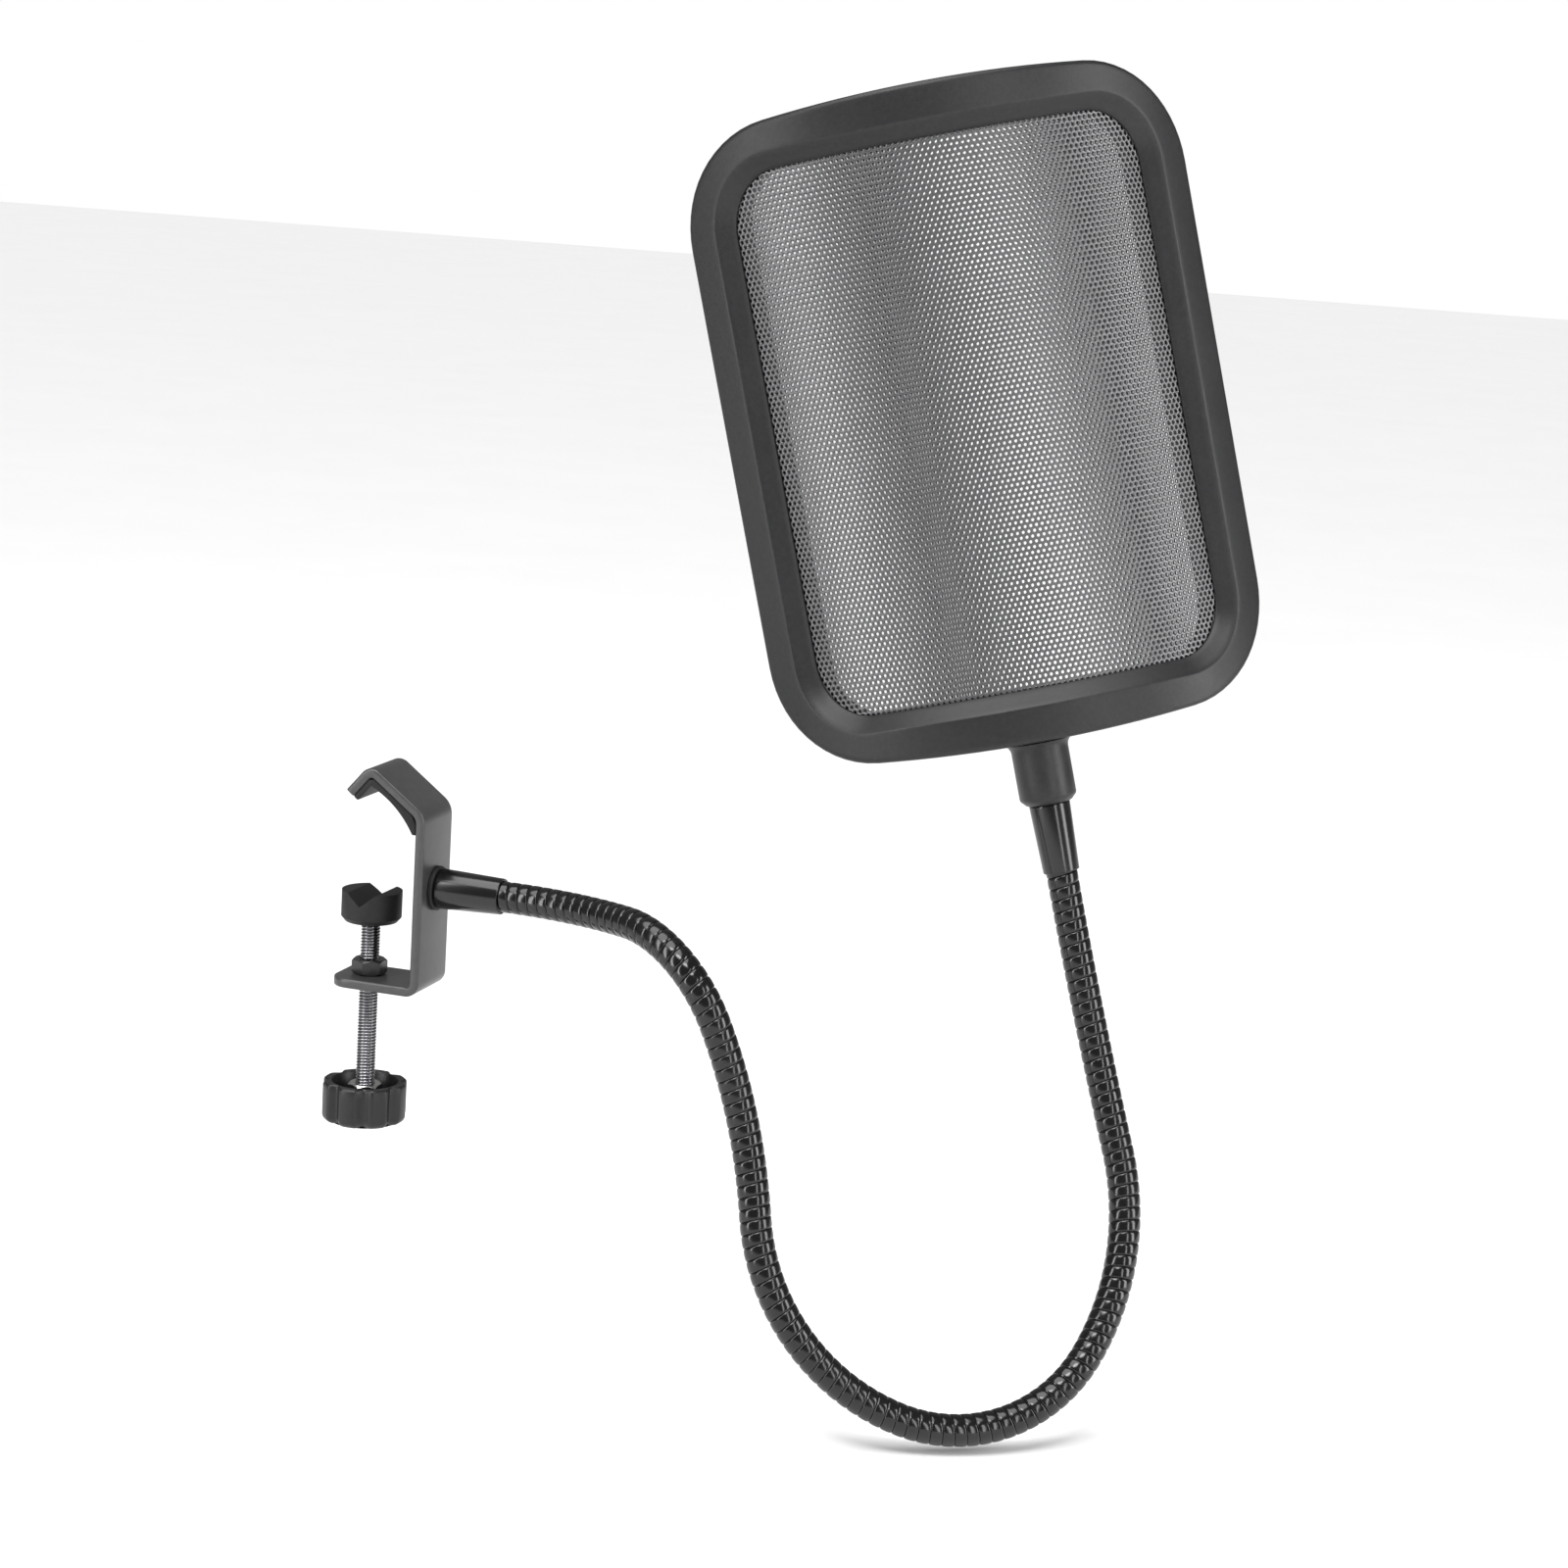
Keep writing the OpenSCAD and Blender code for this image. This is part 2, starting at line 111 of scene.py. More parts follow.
bpy.context.scene.view_settings.view_transform = "Standard"
world = bpy.data.worlds.new("studio")
bpy.context.scene.world = world
world.use_nodes = True
ROOM_LIGHT = 0.28      # strength of the room's light on the object; the backdrop itself stays white
world_nodes, world_links = world.node_tree.nodes, world.node_tree.links
world_nodes["Background"].inputs["Color"].default_value = (1.0, 1.0, 1.0, 1.0)
seen = world_nodes.new("ShaderNodeLightPath")
strength = world_nodes.new("ShaderNodeMapRange")
strength.inputs["To Min"].default_value = ROOM_LIGHT
strength.inputs["To Max"].default_value = 1.0
world_links.new(seen.outputs["Is Camera Ray"], strength.inputs["Value"])
world_links.new(strength.outputs["Result"], world_nodes["Background"].inputs["Strength"])

overhead = bpy.data.objects.new("overhead", bpy.data.lights.new("overhead", "SUN"))
overhead.data.energy = 2.75
overhead.data.angle = math.radians(50)
overhead.rotation_euler = (math.radians(12), math.radians(-10), 0)
bpy.context.scene.collection.objects.link(overhead)
LIT_MIDDLE = (0.09, 0.02, -0.02)      # point the lights face
LIGHT_REACH = 1.25                    # from there to an upright strip


def strip_light(name, azimuth, height, width, length, power):
    """Upright strip at an azimuth round the object, from -Y towards +X."""
    a = math.radians(azimuth)
    place = (LIT_MIDDLE[0] + LIGHT_REACH * math.sin(a), LIT_MIDDLE[1] - LIGHT_REACH * math.cos(a), height)
    area_light(name, place, LIT_MIDDLE, width, power, length)


strip_light("left_strip", -40, 0.35, 0.26, 1.4, 12.0)
strip_light("front_strip", 47, 0.30, 0.16, 1.2, 5.0)
strip_light("right_strip", 86, 0.25, 0.35, 1.4, 14.0)
area_light("upper", (0.15, -0.75, 1.05), LIT_MIDDLE, 0.5, 7.0, 0.3)

# ---------- materials ----------

PATCH_SCALE = 0.3      # noise scale of the tone's patches, as a share of the grain's
SMEAR_SCALE = 60.0     # noise scale of the roughness
SMEAR = 0.08           # how far the roughness varies each way


def surface(name, colour, roughness, metallic=0.0, grain=900.0, bump=0.12, relief=0.00004, tone=0.25,
            specular=0.5):
    """Principled surface: tone varies in patches, roughness in smears, and the grain stands in relief."""
    material = bpy.data.materials.new(name)
    material.use_nodes = True
    nodes, links = material.node_tree.nodes, material.node_tree.links
    shader = nodes["Principled BSDF"]
    shader.inputs["Metallic"].default_value = metallic
    shader.inputs["Specular IOR Level"].default_value = specular
    place = nodes.new("ShaderNodeTexCoord")

    def noise(scale, detail):
        node = nodes.new("ShaderNodeTexNoise")
        node.inputs["Scale"].default_value = scale
        node.inputs["Detail"].default_value = detail
        links.new(place.outputs["Object"], node.inputs["Vector"])
        return node.outputs["Fac"]

    patches = nodes.new("ShaderNodeValToRGB")
    patches.color_ramp.elements[0].position = 0.3
    patches.color_ramp.elements[1].position = 0.72
    patches.color_ramp.elements[0].color = (*[c * (1 - tone) for c in colour], 1)
    patches.color_ramp.elements[1].color = (*[min(1, c * (1 + tone)) for c in colour], 1)
    links.new(noise(grain * PATCH_SCALE, 6.0), patches.inputs["Fac"])
    links.new(patches.outputs["Color"], shader.inputs["Base Color"])
    smear = nodes.new("ShaderNodeMapRange")
    smear.inputs["To Min"].default_value = max(0.03, roughness - SMEAR)
    smear.inputs["To Max"].default_value = min(1.0, roughness + SMEAR)
    links.new(noise(SMEAR_SCALE, 4.0), smear.inputs["Value"])
    links.new(smear.outputs["Result"], shader.inputs["Roughness"])
    height = nodes.new("ShaderNodeBump")
    height.inputs["Strength"].default_value = bump
    height.inputs["Distance"].default_value = relief
    links.new(noise(grain, 3.0), height.inputs["Height"])
    links.new(height.outputs["Normal"], shader.inputs["Normal"])
    return material


PAINT = surface("bracket_paint", (0.030, 0.030, 0.031), 0.36, grain=1800, bump=0.35, tone=0.12)
RUBBER = surface("rubber", (0.006, 0.006, 0.006), 0.62, grain=2400, bump=0.4, specular=0.3)
HARDWARE = surface("black_hardware", (0.010, 0.010, 0.011), 0.3, grain=1500, specular=0.4)
BRIGHT = surface("bright_hardware", (0.5, 0.5, 0.49), 0.24, metallic=1.0, grain=1500, tone=0.08)
STEEL = surface("dark_steel", (0.24, 0.24, 0.25), 0.24, metallic=1.0, grain=1500, tone=0.1)
KNOB = surface("knob_plastic", (0.006, 0.006, 0.007), 0.4, grain=2600, bump=0.35, specular=0.35)
FERRULE = surface("ferrule_black", (0.003, 0.003, 0.003), 0.18, grain=700, bump=0.05, specular=0.45)
NECK = surface("neck_black", (0.003, 0.003, 0.003), 0.17, grain=900, bump=0.06, specular=0.42)
PLASTIC = surface("frame_plastic", (0.0085, 0.0085, 0.0095), 0.42, grain=3200, bump=0.5, relief=0.00006,
                  specular=0.35)
MESH = surface("mesh_steel", (0.10, 0.10, 0.103), 0.34, metallic=0.9, grain=1200, bump=0.08, tone=0.06)

# ---------- mesh helpers ----------


def piece(name, points, faces, material, smooth=True, angle=35.0):
    """New object with its material and slot, and edges sharper than the angle left sharp."""
    mesh = bpy.data.meshes.new(name)
    mesh.from_pydata([tuple(p) for p in points], [], [tuple(f) for f in faces])
    mesh.update()
    shape = bmesh.new()
    shape.from_mesh(mesh)
    bmesh.ops.recalc_face_normals(shape, faces=shape.faces)
    shape.to_mesh(mesh)
    shape.free()
    made = bpy.data.objects.new(name, mesh)
    bpy.context.scene.collection.objects.link(made)
    mesh.materials.append(material)
    if smooth:
        mesh.polygons.foreach_set("use_smooth", [True] * len(mesh.polygons))
        mesh.set_sharp_from_angle(angle=math.radians(angle))
    return made


def ring_faces(rows, columns, closed_rows=False):
    """Quads of a grid whose rows close round, and whose last row may join the first."""
    faces = []
    for i in range(rows if closed_rows else rows - 1):
        k = (i + 1) % rows
        for j in range(columns):
            m = (j + 1) % columns
            faces.append((i * columns + j, i * columns + m, k * columns + m, k * columns + j))
    return faces


def lathe(name, profile, matrix, material, radius=None, columns=64):
    """Closed solid turned about local Z from a closed profile of [radius, z] in mm."""
    points = []
    for i, (r, z) in enumerate(profile):
        for j in range(columns):
            a = 2 * math.pi * j / columns
            here = radius(i, r, a) if radius else r
            points.append(matrix @ Vector((here * math.cos(a) * MM, here * math.sin(a) * MM, z * MM)))
    return piece(name, points, ring_faces(len(profile), columns, True), material)


def rounded(corners, radius, steps=4):
    """Closed profile with each corner replaced by a short arc-like curve."""
    made = []
    count = len(corners)
    for i in range(count):
        before, here, after = (np.array(corners[(i + k) % count], float) for k in (-1, 0, 1))
        reach = min(radius, np.linalg.norm(before - here) / 2.2, np.linalg.norm(after - here) / 2.2)
        a = here + (before - here) / np.linalg.norm(before - here) * reach
        b = here + (after - here) / np.linalg.norm(after - here) * reach
        for k in range(steps + 1):
            t = k / steps
            made.append(tuple((1 - t) ** 2 * a + 2 * t * (1 - t) * here + t * t * b))
    return made


def softened(node, name, material, width):
    """The CAD node's own shape with its edges rounded."""
    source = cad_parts[node]
    mesh = source.data.copy()
    mesh.name = name
    shape = bmesh.new()
    shape.from_mesh(mesh)
    bmesh.ops.remove_doubles(shape, verts=shape.verts, dist=0.000005)
    bmesh.ops.dissolve_limit(shape, angle_limit=math.radians(1.5), verts=shape.verts, edges=shape.edges)
    sharp = [e for e in shape.edges if len(e.link_faces) == 2 and e.calc_face_angle(0) > math.radians(28)]
    bmesh.ops.bevel(shape, geom=sharp, offset=width * MM, segments=3, profile=0.5, affect="EDGES",
                    clamp_overlap=True)
    shape.to_mesh(mesh)
    shape.free()
    made = bpy.data.objects.new(name, mesh)
    bpy.context.scene.collection.objects.link(made)
    mesh.materials.clear()
    mesh.materials.append(material)
    mesh.polygons.foreach_set("use_smooth", [True] * len(mesh.polygons))
    mesh.set_sharp_from_angle(angle=math.radians(30))
    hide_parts(node)
    return made


def frame_along(place, z_axis, x_hint):
    """Frame at a place with its Z along an axis."""
    z = Vector(z_axis).normalized()
    x = (Vector(x_hint) - Vector(x_hint).dot(z) * z).normalized()
    return Matrix.Translation(place) @ Matrix((x, z.cross(x), z)).transposed().to_4x4()


# ---------- clamp bracket ----------

STRAP_W_MM = 18.0
STRAP_T_MM = 2.5
FLANGE_CORNER_MM = 5.0
FLANGE_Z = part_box("clamp_bracket")[0].z / MM
FLANGE_START_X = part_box("clamp_bracket")[0].x / MM
BENDS = [(25.0, 1.2), (47.5, 3.0), (19.3, 1.0), (10.0, 0.0)]   # outer length of a leg, bend after it
HEADINGS = [0.0, 90.0, 143.5, 229.5]
STRAP_EDGE_MM = 0.7    # rounding along the strap's long edges
END_SHRINK = 0.82      # the strap's end faces against its section, which rounds their edges
CORNER_ROWS_MM = [0.0, 0.25, 0.6, 1.1, 1.8, 2.7, 3.8, 5.0]     # rows across the flange's rounded corners


def strap_line():
    """Outer face of the strap as (point, tangent) along its length, in the XZ plane, in mm."""
    corner = np.array([FLANGE_START_X, FLANGE_Z])
    line = []
    cut = 0.0
    for i, (length, bend) in enumerate(BENDS):
        heading = math.radians(HEADINGS[i])
        along = np.array([math.cos(heading), math.sin(heading)])
        turn = math.radians(HEADINGS[i + 1] - HEADINGS[i]) if i < 3 else 0.0
        back = (bend + STRAP_T_MM) * math.tan(turn / 2) if i < 3 else 0.0
        for t in np.linspace(cut, length - back, 14):
            line.append((corner + t * along, heading))
        corner = corner + length * along
        if i < 3:
            left = np.array([-along[1], along[0]])
            centre = corner - back * along + (bend + STRAP_T_MM) * left
            for k in range(1, 16):
                a = heading + turn * k / 16
                line.append((centre + (bend + STRAP_T_MM) * np.array([math.sin(a), -math.cos(a)]), a))
        cut = back
    return line


def strap():
    """The bent strap, with rounded long edges and rounded corners on its flange."""
    line = strap_line()
    edge = STRAP_EDGE_MM
    start = line[0][0]
    clear = CORNER_ROWS_MM[-1] + 0.3
    head = [(start + np.array([d, 0.0]), 0.0) for d in CORNER_ROWS_MM]
    line = head + [p for p in line if p[0][0] > start[0] + clear or p[0][1] > FLANGE_Z + 1]
    section = []
    for cx, cz, a0 in ((1, 1, 0), (-1, 1, 90), (-1, -1, 180), (1, -1, 270)):
        for k in range(5):
            a = math.radians(a0 + 22.5 * k)
            section.append((cx, edge * math.cos(a), cz, edge * math.sin(a)))
    points = []
    for i, (p, heading) in enumerate(line):
        normal = np.array([-math.sin(heading), math.cos(heading)])
        along = np.array([math.cos(heading), math.sin(heading)])
        s = p[0] - start[0] if p[1] < FLANGE_Z + 1 else FLANGE_CORNER_MM
        gap = FLANGE_CORNER_MM - min(s, FLANGE_CORNER_MM)
        half = STRAP_W_MM / 2 - FLANGE_CORNER_MM + math.sqrt(max(FLANGE_CORNER_MM ** 2 - gap ** 2, 0))
        thin = END_SHRINK if i in (0, len(line) - 1) else 1.0
        for cx, dx, cz, dz in section:
            y = cx * (half - edge) * thin + dx * thin
            h = STRAP_T_MM / 2 + (cz * (STRAP_T_MM / 2 - edge) + dz) * thin
            q = p + h * normal
            points.append((q[0] * MM, y * MM, q[1] * MM))
    columns = len(section)
    faces = ring_faces(len(line), columns)
    faces.append(tuple(range(columns)))
    faces.append(tuple((len(line) - 1) * columns + j for j in range(columns)))
    made = piece("bracket", points, faces, PAINT, angle=50)
    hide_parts("clamp_bracket")
    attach(made, "clamp")


strap()

# ---------- clamp screw, nuts, knob ----------

ROD_D_MM = 4.9
ROD_PITCH_MM = 0.8
rod_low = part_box("clamp_screw")[0].z / MM
rod_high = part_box("clamp_screw")[1].z / MM
SHOULDER_MM = 3.1      # plain tip above the thread
THREAD_DEPTHS_MM = [0.0, 0.02, 0.26, 0.42, 0.26, 0.02]     # below the crest, across one pitch
THREAD_CORE_MM = 2.0   # radius where the plain ends run inside the thread
ROD_PLUG_MM = 0.2      # radius of the small flat that closes each end


def threaded_rod():
    """Rod whose rows follow the thread's helix, so that each crest is one clean line."""
    columns, steps = 40, len(THREAD_DEPTHS_MM)
    thread_top = rod_high - SHOULDER_MM
    turns = int((thread_top - rod_low) / ROD_PITCH_MM)
    points, index = [], {}
    for n in range(turns * steps + 1):
        for j in range(columns):
            z = rod_low + 0.3 + (n / steps + j / columns) * ROD_PITCH_MM
            z = min(z, thread_top)
            r = ROD_D_MM / 2 - THREAD_DEPTHS_MM[n % steps]
            a = 2 * math.pi * j / columns
            index[n, j] = len(points)
            points.append((r * math.cos(a) * MM, r * math.sin(a) * MM, z * MM))
    faces = []
    rows = turns * steps
    for n in range(rows):
        for j in range(columns):
            if j < columns - 1:
                faces.append((index[n, j], index[n, j + 1], index[n + 1, j + 1], index[n + 1, j]))
            elif n + 1 + steps <= rows:
                faces.append((index[n, j], index[n + steps, 0], index[n + 1 + steps, 0], index[n + 1, j]))
    tip = [(THREAD_CORE_MM, thread_top - 1.0), (2.45, thread_top - 0.5), (2.45, thread_top),
           (2.2, thread_top), (2.2, rod_high), (ROD_PLUG_MM, rod_high)]
    foot = [(THREAD_CORE_MM, rod_low + 1.0), (2.3, rod_low + 0.3), (2.1, rod_low), (ROD_PLUG_MM, rod_low)]
    for profile in (tip, foot):
        first = len(points)
        for r, z in profile:
            for j in range(columns):
                a = 2 * math.pi * j / columns
                points.append((r * math.cos(a) * MM, r * math.sin(a) * MM, z * MM))
        faces += [tuple(first + k for k in f) for f in ring_faces(len(profile), columns)]
        last_row = first + (len(profile) - 1) * columns
        faces.append(tuple(last_row + j for j in range(columns)))
    made = piece("rod", points, faces, STEEL, angle=60)
    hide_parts("clamp_screw")
    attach(made, "screw")


NUT_CORNER_SLOPE = 0.75        # drop of a turned-down corner for each mm past the flats
NUT_FACE_SHARE = 0.97          # round end face against the flats


def hex_nut(name, node, flats, bore, material, body):
    """Hex nut whose corners are turned down, as deep as their reach past the flats calls for."""
    low, high = (p.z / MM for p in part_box(node))
    columns = 96

    def radius(a):
        spread = (math.degrees(a) + 30) % 60 - 30
        return flats / 2 / math.cos(math.radians(spread))

    points = []
    for j in range(columns):
        a = 2 * math.pi * j / columns
        r = radius(a)
        drop = (r - flats / 2) * NUT_CORNER_SLOPE
        face = flats / 2 * NUT_FACE_SHARE
        for here, z in ((bore / 2 + 0.3, high), (face, high), (r - 0.08, high - drop - 0.06),
                        (r, high - drop - 0.2), (r, low + drop + 0.2), (r - 0.08, low + drop + 0.06),
                        (face, low), (bore / 2 + 0.3, low), (bore / 2, low + 0.3), (bore / 2, high - 0.3)):
            points.append((here * math.cos(a) * MM, here * math.sin(a) * MM, z * MM))
    faces = ring_faces(columns, 10, True)
    made = piece(name, points, faces, material, angle=24)
    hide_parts(node)
    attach(made, body)


KNOB_R_MM = 11.0
KNOB_BORE_R_MM = 2.5
KNOB_WALL_MM = 2.6
KNOB_HUB_R_MM = 4.7
KNOB_HUB_RISE_MM = 6.9         # hub's top above the knob's underside
KNOB_FLOOR_MM = 2.4            # thickness under the recess
KNOB_FLUTES = 8
FLUTE_DEPTH_MM = 1.5
FLUTE_HALF_MM = 2.7            # from a flute's middle to its edge, along the rim
KNOB_RIBS = 4
RIB_HALF_MM = 0.6


def knob():
    """Fluted knob, open on top, with a hub and ribs in the recess."""
    low, high = (p.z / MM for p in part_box("knob"))
    outer, hub = KNOB_R_MM, KNOB_HUB_R_MM
    bowl = outer - KNOB_WALL_MM
    profile = [(KNOB_BORE_R_MM, low), (outer - 2.2, low)]
    profile += [(outer - 2.2 + 2.2 * math.sin(a), low + 2.0 - 2.0 * math.cos(a))
                for a in np.radians([15, 30, 45, 60, 75, 90])]
    profile += [(outer, low + 3.4), (outer, high - 2.4), (outer, high - 0.7), (outer - 0.15, high - 0.3),
                (outer - 0.5, high)]
    fluted = range(2, len(profile))
    profile += [(bowl + 0.3, high), (bowl, high - 0.4), (bowl - 0.3, low + KNOB_FLOOR_MM + 0.5),
                (bowl - 0.8, low + KNOB_FLOOR_MM), (hub + 0.5, low + KNOB_FLOOR_MM),
                (hub, low + KNOB_FLOOR_MM + 0.5), (hub, low + KNOB_HUB_RISE_MM - 0.4),
                (hub - 0.4, low + KNOB_HUB_RISE_MM), (KNOB_BORE_R_MM, low + KNOB_HUB_RISE_MM)]

    def radius(i, r, a):
        if i not in fluted or r < outer - 2.0:
            return r
        phase = (a * KNOB_FLUTES / (2 * math.pi)) % 1.0
        near = abs(phase - 0.5) * 2 * math.pi / KNOB_FLUTES * outer
        return r - FLUTE_DEPTH_MM * (math.cos(math.pi * min(near / FLUTE_HALF_MM, 1.0)) + 1) / 2

    made = lathe("knob_body", profile, Matrix.Identity(4), KNOB, radius, 256)
    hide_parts("knob")
    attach(made, "screw")
    rib_x, rib_z = 6.4, low + 4.2          # middle of a rib, which its end faces shrink towards
    outline = rounded([(hub - 0.6, low + 2.2), (bowl - 0.1, low + 2.2),
                       (bowl - 0.1, low + 6.0), (hub - 0.6, low + 6.4)], 0.5, 3)
    count = len(outline)
    faces = ring_faces(4, count) + [tuple(range(count)), tuple(3 * count + j for j in range(count))]
    for k in range(KNOB_RIBS):
        turn = Matrix.Rotation(math.radians(45 + 90 * k), 4, "Z")
        points = []
        for y, narrow, short in ((-RIB_HALF_MM, 0.96, 0.93), (-0.45, 1, 1), (0.45, 1, 1),
                                 (RIB_HALF_MM, 0.96, 0.93)):
            for px, pz in outline:
                x, z = (px - rib_x) * narrow + rib_x, (pz - rib_z) * short + rib_z
                points.append(turn @ Vector((x * MM, y * MM, z * MM)))
        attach(piece(f"knob_rib_{k + 1}", points, faces, KNOB), "screw")


threaded_rod()
hex_nut("flange_nut", "clamp_nut", 8.0, 5.0, HARDWARE, "clamp")
hex_nut("seated_nut", "knob_nut", 8.0, 4.9, BRIGHT, "screw")
knob()
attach(softened("jaw_liner", "liner", RUBBER, 0.35), "clamp")
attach(softened("pressure_pad", "v_pad", RUBBER, 0.3), "pad")
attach(softened("base_screw", "web_screw", HARDWARE, 0.12), "clamp")

# ---------- gooseneck ----------

NECK_R_MM = 4.0
COIL_PITCH_MM = 2.95
# one [roll, length, bend] for each length between two flexing points
LENGTHS = [(268, 39.5, 31.5), (108, 38.5, 74.5), (-92.5, 47.5, 20.5), (209, 63.5, 64), (-9, 55, 78.5),
           (6.5, 53, 46), (79.5, 71.5, 11)]
ARM_START = Matrix(((0, 0, 1, 36.0), (0, 1, 0, 0), (-1, 0, 0, -9.8), (0, 0, 0, 1)))
STUB_MM = 6.0          # straight run inside each ferrule


def neck_frames():
    """Frame at the start of each length, after its roll, and the frame after the last."""
    starts, m = [], ARM_START.copy()
    for roll, length, bend in LENGTHS:
        m = m @ Matrix.Rotation(math.radians(roll), 4, "Z")
        starts.append(m.copy())
        a = math.radians(bend)
        r = length / a
        m = m @ Matrix.Translation((r * (1 - math.cos(a)), 0, r * math.sin(a))) @ Matrix.Rotation(a, 4, "Y")
    return starts, m


neck_starts, neck_end = neck_frames()
marks = np.concatenate([[0], np.cumsum([length for _, length, _ in LENGTHS])])


def neck_at(s):
    """Frame on the gooseneck's centre line, s mm along it."""
    if s <= 0:
        return ARM_START @ Matrix.Translation((0, 0, s))
    if s >= marks[-1]:
        return neck_end @ Matrix.Translation((0, 0, s - marks[-1]))
    i = int(np.searchsorted(marks, s, side="right")) - 1
    _, length, bend = LENGTHS[i]
    a = math.radians(bend) * (s - marks[i]) / length
    r = length / math.radians(bend)
    return neck_starts[i] @ Matrix.Translation((r * (1 - math.cos(a)), 0, r * math.sin(a))) @ Matrix.Rotation(
        a, 4, "Y")


def parallel_frames(step):
    """Centre line frames that don't twist, every step mm."""
    places, frames, side = np.arange(-STUB_MM, marks[-1] + STUB_MM, step), [], None
    for s in places:
        m = neck_at(s)
        z = m.col[2].to_3d()
        if side is None:
            side = m.col[0].to_3d()
        side = (side - side.dot(z) * z).normalized()
        frames.append((m.col[3].to_3d(), side.copy(), z.cross(side)))
    return places, frames


def gooseneck():
    """Wound tube: rounded bands with a thin groove between them, cut into pieces at each mid-length."""
    # (share of the pitch, depth below the crest in mm) across one band
    band = [(0.0, 0.36), (0.06, 0.13), (0.15, 0.05), (0.30, 0.01), (0.50, 0.0), (0.70, 0.01), (0.85, 0.05),
            (0.94, 0.13)]
    columns, steps = 40, len(band)
    step = 0.5
    places, frames = parallel_frames(step)
    turns = int((marks[-1] + 2 * STUB_MM - 2.0) / COIL_PITCH_MM) - 1
    rows = turns * steps + 1
    where = np.zeros((rows, columns))
    points = np.zeros((rows, columns, 3))
    for n in range(rows):
        share, depth = band[n % steps]
        for j in range(columns):
            s = -STUB_MM + 0.5 + (n // steps + share + j / columns) * COIL_PITCH_MM
            k = (s + STUB_MM) / step
            i = min(int(k), len(frames) - 2)
            f = k - i
            p = frames[i][0].lerp(frames[i + 1][0], f)
            x = frames[i][1].lerp(frames[i + 1][1], f)
            y = frames[i][2].lerp(frames[i + 1][2], f)
            a = 2 * math.pi * j / columns
            r = NECK_R_MM - depth
            points[n, j] = (p + r * math.cos(a) * x + r * math.sin(a) * y) * MM
            where[n, j] = s
    cuts = [-STUB_MM] + [(marks[i] + marks[i + 1]) / 2 for i in range(len(LENGTHS))] + [marks[-1] + STUB_MM]
    groups = [[] for _ in range(len(LENGTHS) + 1)]
    for n in range(rows - 1):
        band_start = where[n - n % steps, 0]
        g = max(0, int(np.searchsorted(cuts, band_start, side="right")) - 1)
        g = min(g, len(groups) - 1)
        for j in range(columns):
            if j < columns - 1:
                groups[g].append(((n, j), (n, j + 1), (n + 1, j + 1), (n + 1, j)))
            elif n + 1 + steps < rows:
                groups[g].append(((n, j), (n + steps, 0), (n + 1 + steps, 0), (n + 1, j)))
    made = []
    for g, faces in enumerate(groups):
        order = {}
        for face in faces:
            for key in face:
                order.setdefault(key, len(order))
        verts = [points[key] for key in order]
        made.append(piece(f"gooseneck_{g}", verts, [[order[k] for k in f] for f in faces], NECK,
                          angle=70))
    return made


neck_pieces = gooseneck()
for g, tube in enumerate(neck_pieces):
    if g == 0:
        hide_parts("neck_wire_1")
        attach(tube, "neck_1")
    elif g == len(LENGTHS):
        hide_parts(f"neck_wire_{g}")
        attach(tube, f"neck_{g}")
    else:
        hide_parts(f"neck_wire_{g}", f"neck_wire_{g + 1}")
        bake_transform(tube)

# ---------- ferrules and washer ----------

AXIS_Z = -9.8          # height of the arm's first axis
FERRULE_ENTRY_MM = 6.5         # how deep the tube goes into a ferrule
FERRULE_EDGE_MM = 0.7
washer_low, washer_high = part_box("base_washer")
ferrule_low, ferrule_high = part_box("base_ferrule")
base_frame = frame_along(Vector((washer_low.x, 0, AXIS_Z * MM)), (1, 0, 0), (0, 1, 0))
washer_t = (washer_high.x - washer_low.x) / MM
washer = lathe("collar", rounded([(2.2, 0), (5.7, 0), (5.7, washer_t), (2.2, washer_t)], 0.35),
               base_frame, RUBBER)
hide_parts("base_washer")
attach(washer, "clamp")

ferrule_len = (ferrule_high.x - ferrule_low.x) / MM
base_frame = frame_along(Vector((ferrule_low.x, 0, AXIS_Z * MM)), (1, 0, 0), (0, 1, 0))
base_ferrule = lathe("ferrule_base", rounded(
    [(2.2, 0), (5.2, 0), (4.6, ferrule_len), (4.02, ferrule_len), (4.02, ferrule_len - FERRULE_ENTRY_MM),
     (2.2, ferrule_len - FERRULE_ENTRY_MM)], FERRULE_EDGE_MM), base_frame, FERRULE)
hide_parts("base_ferrule")
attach(base_ferrule, "neck_1")

TOP_FERRULE_MM = 17.5
SPIGOT_MM = 11.0       # narrow end inside the shield's socket
top_frame = Matrix.Translation(neck_end.to_translation() * MM) @ neck_end.to_3x3().to_4x4()
top_ferrule = lathe("ferrule_top", rounded(
    [(4.02, 0), (4.6, 0), (5.2, TOP_FERRULE_MM), (4.0, TOP_FERRULE_MM), (4.0, TOP_FERRULE_MM + SPIGOT_MM),
     (1.0, TOP_FERRULE_MM + SPIGOT_MM), (1.0, FERRULE_ENTRY_MM), (4.02, FERRULE_ENTRY_MM)],
    FERRULE_EDGE_MM), top_frame, FERRULE)
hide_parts("top_ferrule")
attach(top_ferrule, "neck_7")

# ---------- shield ----------

